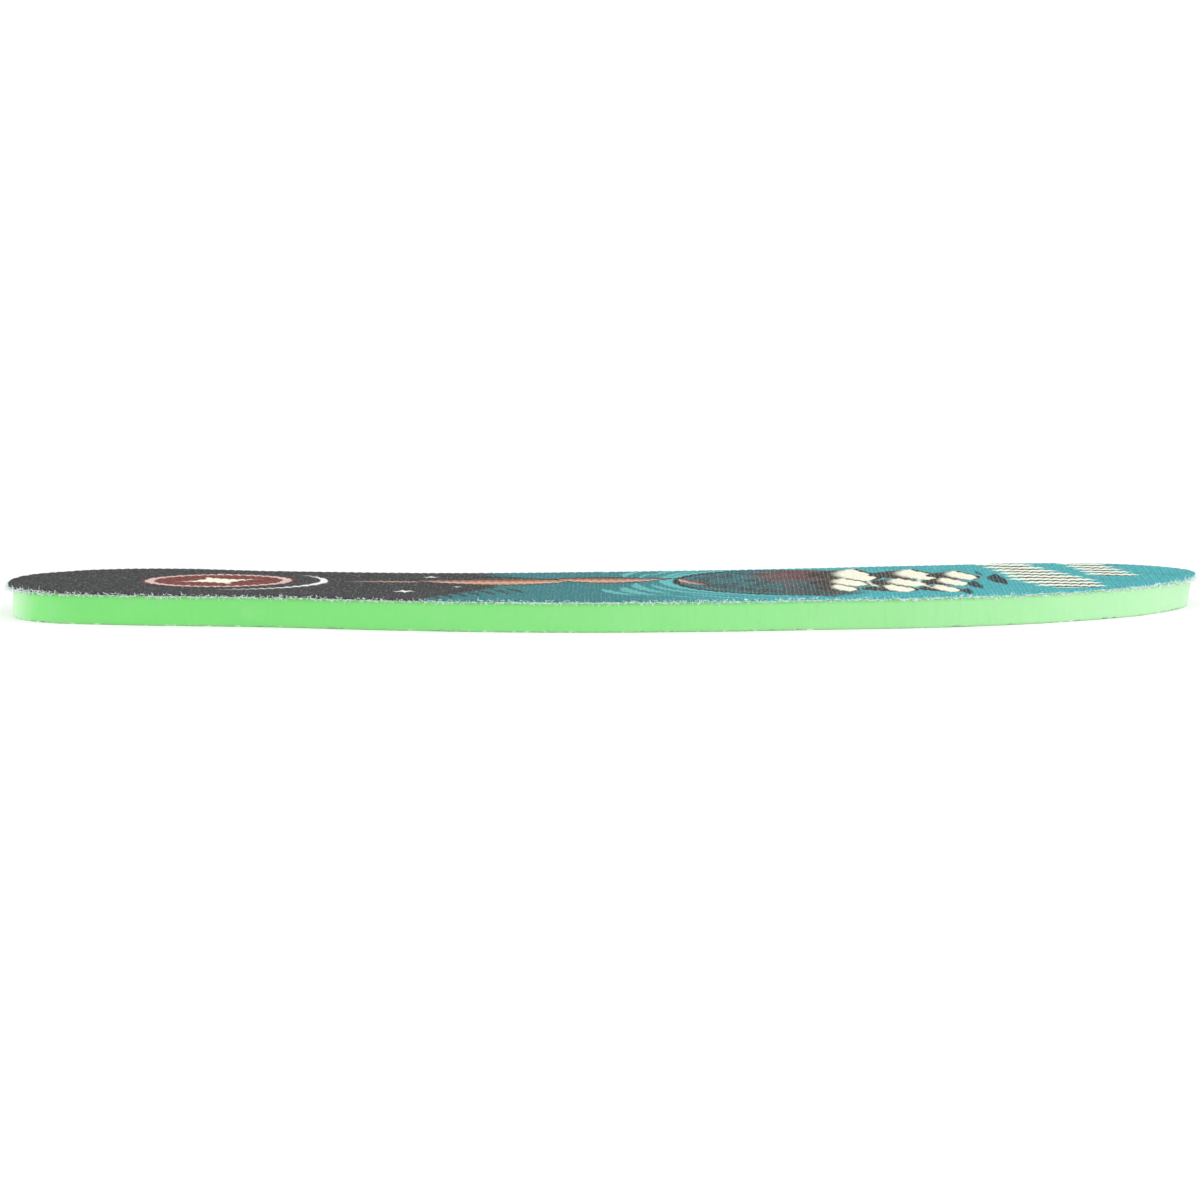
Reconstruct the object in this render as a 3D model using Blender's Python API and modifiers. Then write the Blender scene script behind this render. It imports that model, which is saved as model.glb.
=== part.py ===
"""Flat die-cut insole for a right shoe: a printed knit top cloth, a bond film and a foam slab.

The underside rests on Z = 0. The heel is at -X, the toe at +X and the inner edge, with the
arch's waist and the big toe, at +Y. All sizes are in metres.
"""

import bpy
import bmesh
from mathutils import Vector

MM = 0.001

# Driving dimensions
SOLE_LENGTH = 280 * MM
SOLE_WIDTH = 106 * MM
SOLE_THICKNESS = 7.5 * MM
CLOTH_THICKNESS = 0.6 * MM
FILM_THICKNESS = 0.1 * MM
LAYER_GAP = 0.3 * MM

# Rounding of the two edges that the cutting die presses
FOAM_EDGE_ROUND = 0.4 * MM
CLOTH_EDGE_ROUND = 0.2 * MM
ROUND_SEGMENTS = 2

CURVE_STEPS = 8
WELD_DISTANCE = 0.01 * MM
SMOOTH_ANGLE = 0.6

# Points of the cut line in mm from the middle of the sole, anticlockwise seen from above
HEEL_TIP = (-140, -4)
OUTER_EDGE = [
    (-133, -26),
    (-113, -34),
    (-80, -39),
    (-50, -47),
    (-18, -52),
    (16, -51),
    (50, -45),
    (83, -37),
    (112, -21),
    (131, -1),
]
TOE_TIP = (140, 22)
INNER_EDGE = [
    (137, 38),
    (127, 49),
    (108, 53),
    (75, 45),
    (40, 35),
    (0, 27),
    (-40, 23),
    (-78, 28),
    (-112, 35),
    (-132, 25),
]


def clear_scene():
    """Remove whatever the file holds, so that the script can be run again."""
    for old in list(bpy.data.objects):
        bpy.data.objects.remove(old, do_unlink=True)
    for old in list(bpy.data.collections):
        bpy.data.collections.remove(old)


def finish(name, colour, roughness):
    """A Principled material of one colour."""
    material = bpy.data.materials.new(name)
    material.use_nodes = True
    shader = material.node_tree.nodes["Principled BSDF"]
    shader.inputs["Base Color"].default_value = (*colour, 1)
    shader.inputs["Roughness"].default_value = roughness
    shader.inputs["Metallic"].default_value = 0
    material.diffuse_color = (*colour, 1)
    return material


def cut_line(name, thickness):
    """The sole's outline as one closed, filled curve, extruded to a thickness."""
    points = [HEEL_TIP, *OUTER_EDGE, TOE_TIP, *INNER_EDGE]
    curve = bpy.data.curves.new(name, "CURVE")
    curve.dimensions = "2D"
    curve.fill_mode = "BOTH"
    curve.resolution_u = CURVE_STEPS
    curve.extrude = thickness / 2
    spline = curve.splines.new("BEZIER")
    spline.bezier_points.add(len(points) - 1)
    spline.use_cyclic_u = True
    for knot, (x, y) in zip(spline.bezier_points, points, strict=True):
        knot.co = (x * MM, y * MM, 0)
        knot.handle_left_type = "AUTO"
        knot.handle_right_type = "AUTO"
    return bpy.data.objects.new(name, curve)


def sole_blank(name, thickness, collection):
    """A closed mesh of one layer, centred on its middle, exactly as long and wide as the sole."""
    outline = cut_line(name + "_outline", thickness)
    collection.objects.link(outline)
    bpy.context.view_layer.update()
    evaluated = outline.evaluated_get(bpy.context.evaluated_depsgraph_get())
    mesh = bpy.data.meshes.new_from_object(evaluated)
    bpy.data.objects.remove(outline)
    mesh.name = name

    blank = bmesh.new()
    blank.from_mesh(mesh)
    bmesh.ops.remove_doubles(blank, verts=blank.verts, dist=WELD_DISTANCE)
    low = Vector([min(vert.co[axis] for vert in blank.verts) for axis in range(3)])
    high = Vector([max(vert.co[axis] for vert in blank.verts) for axis in range(3)])
    size = high - low
    bmesh.ops.translate(blank, verts=blank.verts, vec=-(low + high) / 2)
    bmesh.ops.scale(blank, verts=blank.verts, vec=(SOLE_LENGTH / size.x, SOLE_WIDTH / size.y, 1))
    bmesh.ops.recalc_face_normals(blank, faces=blank.faces)
    blank.to_mesh(mesh)
    blank.free()
    return mesh


def round_edges(layer, width):
    """Round the sharp top and bottom edges of a layer."""
    bevel = layer.modifiers.new("edge_round", "BEVEL")
    bevel.width = width
    bevel.segments = ROUND_SEGMENTS
    bevel.limit_method = "ANGLE"
    bevel.angle_limit = SMOOTH_ANGLE
    bevel.use_clamp_overlap = True


def add_layer(name, bottom, thickness, material, base, collection):
    """One layer of the laminate, with its underside at the height bottom."""
    mesh = sole_blank(name, thickness, collection)
    mesh.materials.append(material)
    mesh.shade_smooth()
    mesh.set_sharp_from_angle(angle=SMOOTH_ANGLE)
    layer = bpy.data.objects.new(name, mesh)
    layer.location.z = bottom + thickness / 2
    layer.parent = base
    collection.objects.link(layer)
    return layer


def build():
    clear_scene()
    collection = bpy.data.collections.new("shoe_insole")
    bpy.context.scene.collection.children.link(collection)
    base = bpy.data.objects.new("insole_base", None)
    collection.objects.link(base)

    foam_thickness = SOLE_THICKNESS - CLOTH_THICKNESS - FILM_THICKNESS - 2 * LAYER_GAP
    film_bottom = foam_thickness + LAYER_GAP
    cloth_bottom = film_bottom + FILM_THICKNESS + LAYER_GAP

    foam = finish("green_foam", (0.26, 0.76, 0.25), 0.85)
    film = finish("hot_melt_film", (0.80, 0.82, 0.76), 0.45)
    knit = finish("printed_knit", (0.08, 0.25, 0.28), 0.95)

    slab = add_layer("foam_slab", 0, foam_thickness, foam, base, collection)
    round_edges(slab, FOAM_EDGE_ROUND)
    add_layer("bond_film", film_bottom, FILM_THICKNESS, film, base, collection)
    cloth = add_layer("top_cloth", cloth_bottom, CLOTH_THICKNESS, knit, base, collection)
    round_edges(cloth, CLOTH_EDGE_ROUND)


build()
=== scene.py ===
"""Looks of a flat shoe insole: printed ribbed knit on a green foam slab, with frayed cut yarns.

The CAD frame gives the cut line and the heights of the layers. Everything here is laid on it.
"""

import math
import random

import bmesh
import bpy
import numpy as np
from bpy.props import FloatProperty, FloatVectorProperty, IntProperty, PointerProperty
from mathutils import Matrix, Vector, geometry, kdtree, noise


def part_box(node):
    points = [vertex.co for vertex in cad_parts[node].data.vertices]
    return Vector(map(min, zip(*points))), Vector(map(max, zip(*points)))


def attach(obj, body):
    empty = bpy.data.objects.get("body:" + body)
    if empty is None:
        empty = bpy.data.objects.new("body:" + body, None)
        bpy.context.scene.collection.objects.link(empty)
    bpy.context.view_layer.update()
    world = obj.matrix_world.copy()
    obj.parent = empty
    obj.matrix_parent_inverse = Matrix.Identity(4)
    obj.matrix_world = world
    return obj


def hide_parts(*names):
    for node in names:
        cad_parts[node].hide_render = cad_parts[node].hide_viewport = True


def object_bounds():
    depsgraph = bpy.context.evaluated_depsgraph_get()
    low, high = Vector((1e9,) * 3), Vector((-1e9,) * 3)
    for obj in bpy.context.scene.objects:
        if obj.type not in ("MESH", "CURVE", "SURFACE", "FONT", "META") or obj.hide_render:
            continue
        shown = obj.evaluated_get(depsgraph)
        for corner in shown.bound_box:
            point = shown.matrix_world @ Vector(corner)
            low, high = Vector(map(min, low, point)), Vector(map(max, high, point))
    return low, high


bl_info = {
    "name": "Printed Shoe Insole",
    "version": (1, 0, 0),
    "blender": (4, 5, 0),
    "location": "3D View > Sidebar > Insole",
    "description": "Builds a printed knit and foam shoe insole round its CAD frame",
    "category": "Add Mesh",
}

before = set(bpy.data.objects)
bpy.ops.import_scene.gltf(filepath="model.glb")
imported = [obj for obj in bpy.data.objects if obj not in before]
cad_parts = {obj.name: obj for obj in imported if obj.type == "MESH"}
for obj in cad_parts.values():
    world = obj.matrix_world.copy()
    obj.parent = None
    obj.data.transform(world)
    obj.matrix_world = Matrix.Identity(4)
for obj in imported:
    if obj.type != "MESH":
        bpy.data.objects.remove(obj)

MM = 0.001
BODY = "root"

CAD_LOW, CAD_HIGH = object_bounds()
FOAM_LOW, FOAM_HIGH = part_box("foam_slab")
CLOTH_LOW, CLOTH_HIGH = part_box("top_cloth")

WELD = 0.005 * MM
STRAIGHT = 0.002  # a turn in radians below which a point of the CAD side adds no shape
HAIRLINE = 0.01 * MM  # room left between layers that are glued face to face
SEAM = 0.0005 * MM  # points of a fibre that are closer than this are one point
TAPER = 0.6  # share of its width that a fibre loses up to its tip
TIP_STRETCH = 0.12  # share of half the length over which the heel's and the toe's tip differ
LEAST_OVERHANG = 0.12 * MM  # how far the cloth stands out past the foam all round
FRINGE_SPACING = 0.1 * MM  # distance between the places where a yarn end can start
FRINGE_FLOOR = 6 * MM  # height below which no yarn end hangs
FOAM_ROWS = (0, 0.12, 0.35, 0.8, 1.5, 2.3, 3.1, 3.9, 4.7, 5.4, 6.0, 6.4)  # in mm, below the rim
CLOTH_INSETS = (0.10, 0.18, 0.27, 0.40)  # in mm, each from the one before
RIB_CUTS = (0.0, 0.09, 0.22, 0.5, 0.78, 0.91)  # shares of a rib, closer together in its groove
BLEACHED = (0.89, 0.99, 0.97)  # the whitest yarn, at the cut


def length(name, description, default, **more):
    """A length setting in metres."""
    return FloatProperty(
        name=name, description=description, default=default, unit="LENGTH", precision=5, **more
    )


def colour(name, description, default):
    """A colour setting in linear light."""
    return FloatVectorProperty(
        name=name, description=description, default=default, subtype="COLOR", size=3, min=0, max=1
    )


def whole_number(name, description, default):
    """A whole number setting."""
    return IntProperty(name=name, description=description, default=default, min=0)


def plain_number(name, description, default):
    """A plain number setting."""
    return FloatProperty(name=name, description=description, default=default)


class InsoleFoamSettings(bpy.types.PropertyGroup):
    """Sizes and colours of the foam slab and the film on it."""

    film: length("Film", "Thickness of the glued film", 0.1 * MM)
    step: length("Detail", "Spacing of the points round the cut side", 0.5 * MM)
    edge_round: length("Edge Round", "Rounding of the lower edge", 0.35 * MM)
    nibble: length("Nibble", "Depth of the torn bites in the lower edge", 0.24 * MM)
    undercut: length("Undercut", "How far the side leans in at the bottom", 0.12 * MM)
    toe_undercut: length("Toe Undercut", "How much more it leans in at the toe", 0.95 * MM)
    ripple: length("Ripple", "Height of the knife's ripple in the side", 0.05 * MM)
    cell: length("Cell", "Width of a foam cell", 0.32 * MM)
    green: colour("Green", "Foam colour", (0.205, 0.70, 0.185))
    # Painted highlight: the foam is blended to this paler green towards the toe, where the side
    # light falls; the mottle and the glue use it too.
    pale: colour("Pale Green", "Foam colour towards the toe", (0.44, 0.735, 0.43))
    # Painted shade: this darker green also marks the band under the cloth's edge and the pits of
    # the open cells; the knife streaks use it too.
    deep: colour("Deep Green", "Squeezed upper rim and open cells", (0.15, 0.58, 0.15))
    # Painted highlight: this whiter green stands for light on the heel end and for pale flecks
    # along the lower edge.
    painted_highlight: colour("Worn", "Foam colour at the rubbed heel end", (0.78, 0.90, 0.76))
    # Painted shade: a grey-green line along the foam's lower edge, where it meets the floor.
    bottom_edge_shade: colour("Dusty", "Colour of the torn lower edge", (0.40, 0.47, 0.33))
    glue: colour("Glue", "Colour of the adhesive film", (0.62, 0.74, 0.60))


class InsoleClothSettings(bpy.types.PropertyGroup):
    """Sizes of the ribbed knit."""

    rib: length("Rib Pitch", "Distance from one rib to the next", 1.95 * MM)
    rib_height: length("Rib Height", "Height of a rib over its grooves", 0.17 * MM)
    stitch: length("Stitch", "Length of one stitch along a rib", 0.85 * MM)
    heel_overhang: length("Heel Overhang", "How far the cloth stands out at the heel", 1.2 * MM)
    toe_overhang: length("Toe Overhang", "How far it stands out at the toe", 0.75 * MM)
    sway: length("Sway", "How far a rib wanders sideways", 0.22 * MM)
    step: length("Detail", "Spacing of the points round the cut edge", 1.2 * MM)
    row: length("Rows", "Spacing of the cuts across the ribs", 2.2 * MM)
    press_width: length("Pressed Width", "Width of the edge that the die pressed", 0.9 * MM)
    press_depth: length("Pressed Depth", "Depth of the edge that the die pressed", 0.30 * MM)


class InsolePrintSettings(bpy.types.PropertyGroup):
    """Ink colours of the print."""

    charcoal: colour("Charcoal", "Ground at the heel", (0.048, 0.049, 0.051))
    mid_teal: colour("Mid Teal", "Ground at the arch", (0.038, 0.218, 0.235))
    toe_teal: colour("Toe Teal", "Ground at the toe", (0.055, 0.430, 0.465))
    wave: colour("Wave", "Light strokes round the oval", (0.140, 0.560, 0.550))
    brick: colour("Brick", "Roundel and patch", (0.215, 0.048, 0.043))
    blush: colour("Blush", "Dashed ring", (0.930, 0.740, 0.680))
    cream: colour("Cream", "Petals, bars and the big star", (0.980, 0.965, 0.790))
    white: colour("White", "Crescent and small stars", (0.960, 0.960, 0.930))
    orange: colour("Orange", "Broad part of the long leaves", (0.560, 0.280, 0.150))
    salmon: colour("Salmon", "Tips of the long leaves", (0.430, 0.245, 0.195))
    umber: colour("Umber", "Shaded side of the petals", (0.055, 0.042, 0.034))
    line: colour("Line", "Dark outlines", (0.020, 0.013, 0.017))
    undyed: colour("Undyed", "Yarn that the ink did not reach", (0.74, 0.78, 0.74))


class InsoleYarnSettings(bpy.types.PropertyGroup):
    """Sizes and counts of the loose yarn ends and the nap."""

    tuft_gap: length("Tuft Gap", "Mean distance between yarn ends round the edge", 0.43 * MM)
    toe_droop: length("Toe Droop", "How much lower the yarn ends hang towards the toe", 0.55 * MM)
    stubs: whole_number("Stubs", "Cut yarn stubs in one tuft", 2)
    stub_length: length("Stub Length", "Length of a cut yarn stub", 0.55 * MM)
    stub_width: length("Stub Width", "Thickness of a cut yarn stub", 0.22 * MM)
    fibres: whole_number("Fibres", "Loose fibres in one tuft", 3)
    fibre_length: length("Fibre Length", "Length of a frayed fibre", 0.52 * MM)
    fibre_width: length("Fibre Width", "Thickness of a frayed fibre", 0.11 * MM)
    nap_count: whole_number("Nap", "Loose fibres on the face", 5200)
    nap_length: length("Nap Length", "Length of a fibre on the face", 0.9 * MM)
    nap_width: length("Nap Width", "Thickness of a fibre on the face", 0.040 * MM)


class InsoleStageSettings(bpy.types.PropertyGroup):
    """Camera, lights and backdrop."""

    camera: FloatVectorProperty(
        name="Camera", description="Place of the camera", subtype="TRANSLATION",
        default=(0.0118, -1.6446, 0.1478),
    )
    aim: FloatVectorProperty(
        name="Aim", description="Point that the camera looks at", subtype="TRANSLATION",
        default=(-0.00168, 0.0, 0.0029),
    )
    lens: plain_number("Lens", "Focal length in mm", 209.4)
    sky: plain_number("Sky", "Strength of the soft light all round", 0.46)
    right_watts: plain_number("Right Light", "Power in watts", 6.4)
    left_watts: plain_number("Left Light", "Power in watts", 4.8)
    top_watts: plain_number("Top Light", "Power in watts", 6.2)
    backdrop: length("Backdrop", "Radius of the round backdrop", 5.0)
    paper: colour("Paper", "Colour of the floor", (0.88, 0.88, 0.88))


# Shapes cut from the CAD frame


def cut_line(node, spacing):
    """Evenly spaced points along a CAD layer's side, anticlockwise, and their outward normals."""
    layer = bmesh.new()
    layer.from_mesh(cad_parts[node].data)
    bmesh.ops.remove_doubles(layer, verts=layer.verts, dist=WELD)
    low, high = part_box(node)
    bmesh.ops.bisect_plane(
        layer,
        geom=[*layer.verts, *layer.edges, *layer.faces],
        plane_co=(low + high) / 2,
        plane_no=(0, 0, 1),
        clear_inner=True,
        clear_outer=True,
    )
    layer.edges.ensure_lookup_table()
    start = layer.edges[0].verts[0]
    ring, last, here = [start.co.xy.copy()], start, layer.edges[0].verts[1]
    while here is not start:
        ring.append(here.co.xy.copy())
        sides = [edge.other_vert(here) for edge in here.link_edges]
        last, here = here, next(vert for vert in sides if vert is not last)
    layer.free()
    area = sum(a.cross(b) for a, b in zip(ring, ring[1:] + ring[:1], strict=True)) / 2
    if area < 0:
        ring.reverse()
    return spaced(smoothed(without_straights(ring)), spacing)


def without_straights(ring):
    """The ring without the points that lie on a straight run between their neighbours."""
    kept = []
    for before, here, after in zip(ring[-1:] + ring[:-1], ring, ring[1:] + ring[:1], strict=True):
        turn = (here - before).angle_signed(after - here, 0)
        if abs(turn) > STRAIGHT:
            kept.append(here)
    return kept


def smoothed(ring, steps=9):
    """Points on a smooth closed curve through the ring's points."""
    curve = []
    count = len(ring)
    for i in range(count):
        before, here, there, beyond = (ring[(i + k) % count] for k in (-1, 0, 1, 2))
        span = (there - here).length
        leave = (there - before).normalized() * span / 3
        arrive = (beyond - here).normalized() * span / 3
        curve += geometry.interpolate_bezier(here, here + leave, there - arrive, there, steps)[:-1]
    return np.array([tuple(point) for point in curve])[:, :2]


def spaced(curve, spacing):
    """The closed curve's points set evenly along it, with outward normals."""
    closed = np.vstack([curve, curve[:1]])
    along = np.concatenate([[0], np.cumsum(np.linalg.norm(np.diff(closed, axis=0), axis=1))])
    stations = np.linspace(0, along[-1], round(along[-1] / spacing), endpoint=False)
    line = np.stack([np.interp(stations, along, closed[:, k]) for k in range(2)], axis=1)
    tangent = np.roll(line, -1, axis=0) - np.roll(line, 1, axis=0)
    tangent /= np.linalg.norm(tangent, axis=1)[:, None]
    return line, np.stack([tangent[:, 1], -tangent[:, 0]], axis=1)


def end_share(x):
    """From 0 to 1 over the last stretch to the toe's tip, and from 0 to -1 to the heel's."""
    share = max(0, abs(x) / CAD_HIGH.x - (1 - TIP_STRETCH)) / TIP_STRETCH
    return math.copysign(share, x)


def overhang(cloth, x):
    """How far the cloth stands out past the foam there."""
    share = end_share(x)
    reach = cloth.toe_overhang if share > 0 else cloth.heel_overhang
    return LEAST_OVERHANG + reach * abs(share) ** 3


def wall(shape, line, rows, place):
    """A closed wall round the cut line, where place(station, row) gives each point."""
    count = len(line)
    grid = bmesh.ops.create_grid(shape, x_segments=count, y_segments=rows - 1, size=0.5)["verts"]
    for vert in grid:
        station = round((vert.co.x + 0.5) * count) % count
        vert.co = place(station, round((vert.co.y + 0.5) * (rows - 1)))
    bmesh.ops.remove_doubles(shape, verts=grid, dist=WELD)
    bmesh.ops.holes_fill(shape, edges=shape.edges, sides=0)
    bmesh.ops.recalc_face_normals(shape, faces=shape.faces)


def add_object(name, data):
    """A new object in the scene."""
    thing = bpy.data.objects.new(name, data)
    bpy.context.collection.objects.link(thing)
    return thing


def smooth_object(shape, name, material):
    """The bmesh as a smooth object of one material."""
    mesh = bpy.data.meshes.new(name)
    shape.to_mesh(mesh)
    shape.free()
    mesh.materials.append(material)
    mesh.shade_smooth()
    return add_object(name, mesh)


def finish_piece(shape, name, material):
    """The bmesh as a smooth piece that rides on the sole."""
    piece = smooth_object(shape, name, material)
    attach(piece, BODY)
    return piece


def wander(x, y, size, seed):
    """Smooth noise from -1 to 1 that changes over about the given size in metres."""
    return noise.noise(Vector((x / size, y / size, seed)))


def fade(distance, reach):
    """From 1 at no distance down to 0 at the reach and beyond."""
    return max(0, 1 - distance / reach)


def fibres(name, paths, material):
    """Thin tapered tubes as one mesh piece, each path a width and a list of points."""
    curve = bpy.data.curves.new(name + "_curve", "CURVE")
    curve.dimensions = "3D"
    curve.bevel_depth = MM / 2
    curve.bevel_resolution = 0
    curve.use_fill_caps = True
    for width, path in paths:
        spline = curve.splines.new("POLY")
        spline.points.add(len(path) - 1)
        for i, (point, place) in enumerate(zip(spline.points, path, strict=True)):
            point.co = (*place, 1)
            point.radius = width / MM * (1 - TAPER * i / (len(path) - 1))
    strands = add_object(name + "_curve", curve)
    bpy.context.view_layer.update()
    evaluated = strands.evaluated_get(bpy.context.evaluated_depsgraph_get())
    shape = bmesh.new()
    mesh = bpy.data.meshes.new_from_object(evaluated)
    shape.from_mesh(mesh)
    bpy.data.meshes.remove(mesh)
    bpy.data.objects.remove(strands)
    bmesh.ops.remove_doubles(shape, verts=shape.verts, dist=SEAM)
    bmesh.ops.recalc_face_normals(shape, faces=shape.faces)
    return finish_piece(shape, name, material)


# Material graphs


class Graph:
    """A node tree that grows by one short call for each node."""

    def __init__(self, tree):
        self.tree = tree

    def feed(self, socket, value):
        """Link the value to the socket, or set it where it is a plain one."""
        if isinstance(value, bpy.types.NodeSocket):
            self.tree.links.new(value, socket)
        else:
            socket.default_value = value

    def add(self, kind, inputs=None, **settings):
        """A new node with its settings made and its inputs fed."""
        node = self.tree.nodes.new(kind)
        for name, value in settings.items():
            setattr(node, name, value)
        for name, value in (inputs or {}).items():
            self.feed(node.inputs[name], value)
        return node

    def math(self, operation, a, b=0.0, clamp=False):
        """Result of an operation on one or two numbers."""
        inputs = {0: a, 1: b}
        return self.add("ShaderNodeMath", inputs, operation=operation, use_clamp=clamp).outputs[0]

    def plus(self, a, b):
        return self.math("ADD", a, b)

    def minus(self, a, b):
        return self.math("SUBTRACT", a, b)

    def vector(self, operation, a, b=(0, 0, 0)):
        """Result of an operation on one or two vectors."""
        node = self.add("ShaderNodeVectorMath", {0: a, 1: b}, operation=operation)
        return node.outputs["Value" if operation in ("DISTANCE", "LENGTH") else "Vector"]

    def ramp(self, value, low, high, start=0.0, end=1.0):
        """A soft step from start to end as the value goes from low to high."""
        inputs = {"Value": value, "From Min": low, "From Max": high, "To Min": start, "To Max": end}
        node = self.add("ShaderNodeMapRange", inputs, interpolation_type="SMOOTHSTEP")
        return node.outputs["Result"]

    def blend(self, under, over, amount):
        """The colour over laid on the colour under by the amount."""
        node = self.add("ShaderNodeMix", data_type="RGBA")
        self.feed(node.inputs[0], amount)
        for socket, value in ((node.inputs[6], under), (node.inputs[7], over)):
            self.feed(socket, value if isinstance(value, bpy.types.NodeSocket) else (*value, 1))
        return node.outputs[2]

    def over(self, under, colour, mask, amount):
        """The colour laid on the colour under by the amount, where the mask is 1."""
        return self.blend(under, colour, self.both(mask, amount))

    def noise(self, place, scale, detail=2.0, rough=0.5):
        """Cloudy noise from 0 to 1."""
        inputs = {"Vector": place, "Scale": scale, "Detail": detail, "Roughness": rough}
        return self.add("ShaderNodeTexNoise", inputs).outputs["Fac"]

    def local(self, place, centre, angle, size):
        """How far along and across a box of that centre, angle in degrees and size it lies."""
        turn = math.radians(angle)
        axes = ((math.cos(turn), math.sin(turn)), (-math.sin(turn), math.cos(turn)))
        shares = []
        for (ax, ay), width in zip(axes, size, strict=True):
            inputs = {0: place, 1: (ax / width, ay / width, 0)}
            reach = self.add("ShaderNodeVectorMath", inputs, operation="DOT_PRODUCT")
            offset = (centre[0] * ax + centre[1] * ay) / width
            shares.append(self.minus(reach.outputs["Value"], offset))
        return shares

    def span(self, a, b):
        """Length of the vector (a, b)."""
        return self.vector("LENGTH", self.add("ShaderNodeCombineXYZ", {0: a, 1: b}).outputs[0])

    def disc(self, place, centre, radius, soft=0.35):
        """1 inside a disc and 0 outside, over a soft edge."""
        distance = self.vector("DISTANCE", place, (*centre, 0))
        return self.ramp(distance, radius + soft / 2, radius - soft / 2)

    def oval(self, place, centre, angle, radii, soft=0.03):
        """1 inside an oval and 0 outside, and how far out it lies, in shares of its radii."""
        away = self.span(*self.local(place, centre, angle, radii))
        return self.ramp(away, 1 + soft, 1 - soft), away

    def both(self, a, b):
        """The part that is in both masks, or a mask by an amount."""
        return self.math("MULTIPLY", a, b)

    def without(self, a, b):
        """The part of the first mask that is outside the second."""
        return self.math("MULTIPLY", a, self.minus(1.0, b))

    def bump(self, shader, height, strength, distance):
        """Give the shader a relief, where the distance is how high it stands."""
        inputs = {"Height": height, "Strength": strength, "Distance": distance}
        self.feed(shader.inputs["Normal"], self.add("ShaderNodeBump", inputs).outputs["Normal"])


def new_material(name):
    """A new material, its graph and shader, and the socket with the place on the piece."""
    material = bpy.data.materials.new(name)
    material.use_nodes = True
    graph = Graph(material.node_tree)
    place = graph.add("ShaderNodeTexCoord").outputs["Object"]
    return material, graph, graph.tree.nodes["Principled BSDF"], place


def set_values(node, values):
    """Set a node's plain values, by socket."""
    for socket, value in values.items():
        node.inputs[socket].default_value = value


def new_group(name, inputs, outputs):
    """An empty node group with the given sockets, and its graph, input and output nodes."""
    group = bpy.data.node_groups.new(name, "ShaderNodeTree")
    for side, sockets in (("INPUT", inputs), ("OUTPUT", outputs)):
        for socket, kind in sockets.items():
            group.interface.new_socket(socket, in_out=side, socket_type=kind)
    graph = Graph(group)
    return graph, graph.add("NodeGroupInput"), graph.add("NodeGroupOutput")


def leaf_group():
    """A pointed leaf in shares of its length and width, measured from its middle."""
    sockets = ("Along", "Across", "Bend", "Lead", "Sharp")
    results = ("Mask", "Inside", "Side")
    graph, given, made = new_group(
        "leaf", dict.fromkeys(sockets, "NodeSocketFloat"), dict.fromkeys(results, "NodeSocketFloat")
    )
    doubled = graph.math("MULTIPLY", given.outputs["Along"], 2.0)
    square = graph.math("MULTIPLY", doubled, doubled)
    belly = graph.math("SUBTRACT", 1.0, square, clamp=True)
    lead = graph.plus(1.0, graph.math("MULTIPLY", doubled, given.outputs["Lead"]))
    half = graph.math("MULTIPLY", graph.math("MULTIPLY", belly, lead), 0.5)
    bow = graph.math("MULTIPLY", graph.minus(belly, 0.5), given.outputs["Bend"])
    side = graph.minus(given.outputs["Across"], bow)
    inside = graph.minus(half, graph.math("ABSOLUTE", side))
    edge = graph.math("MULTIPLY", inside, given.outputs["Sharp"], clamp=True)
    graph.feed(made.inputs["Mask"], edge)
    graph.feed(made.inputs["Inside"], inside)
    graph.feed(made.inputs["Side"], side)
    return graph.tree


def star_mask(graph, place, centre, angle, reach, slender=0.55):
    """A four-pointed star, whose arms are thinner the smaller slender is."""
    arms = [
        graph.math("POWER", graph.math("ABSOLUTE", share), slender)
        for share in graph.local(place, centre, angle, (reach, reach))
    ]
    return graph.ramp(graph.plus(*arms), 1.04, 0.96)


def strew(graph, petal, ink, colour, amount, leaves, *form):
    """The colour laid on the ink by the amount, in the shape of each of the leaves."""
    for centre, angle, size in leaves:
        mask = petal(centre, angle, size, *form)[0]
        ink = graph.over(ink, colour, mask, amount)
    return ink


def print_group(inks):
    """The printed picture: place in millimetres in, ink colour out."""
    graph, given, made = new_group(
        "insole_print", {"Place": "NodeSocketVector"}, {"Ink": "NodeSocketColor"}
    )
    leaf = leaf_group()
    flat = graph.vector("MULTIPLY", given.outputs["Place"], (1, 1, 0))
    clouds = {scale: graph.noise(flat, scale) for scale in (0.07, 0.09, 0.13)}
    bleed = graph.add("ShaderNodeTexNoise", {"Vector": flat, "Scale": 1.1, "Detail": 2.0})
    nudge = graph.vector("SUBTRACT", bleed.outputs["Color"], (0.5, 0.5, 0))
    place = graph.vector("ADD", flat, graph.vector("MULTIPLY", nudge, (0.9, 1.3, 0)))

    def petal(centre, angle, size, bend=0.0, lead=0.0, soft=0.4, where=place):
        along, across = graph.local(where, centre, angle, size)
        inputs = {0: along, 1: across, 2: bend, 3: lead, 4: size[1] / soft}
        return tuple(graph.add("ShaderNodeGroup", inputs, node_tree=leaf).outputs)

    split = graph.add("ShaderNodeSeparateXYZ", {0: place})
    x, y = split.outputs[0], split.outputs[1]
    ink = ground(graph, clouds, x, y, petal, inks)
    ink = waves(graph, place, petal, ink, inks)
    ink = big_oval(graph, place, clouds, x, petal, ink, inks)
    ink = petal_rows(graph, petal, ink, inks)
    ink = slanted_bars(graph, x, y, ink, inks)
    ink = long_leaves(graph, x, petal, ink, inks)
    ink = roundel(graph, place, ink, inks)
    graph.feed(made.inputs["Ink"], ink)
    return graph.tree


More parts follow.
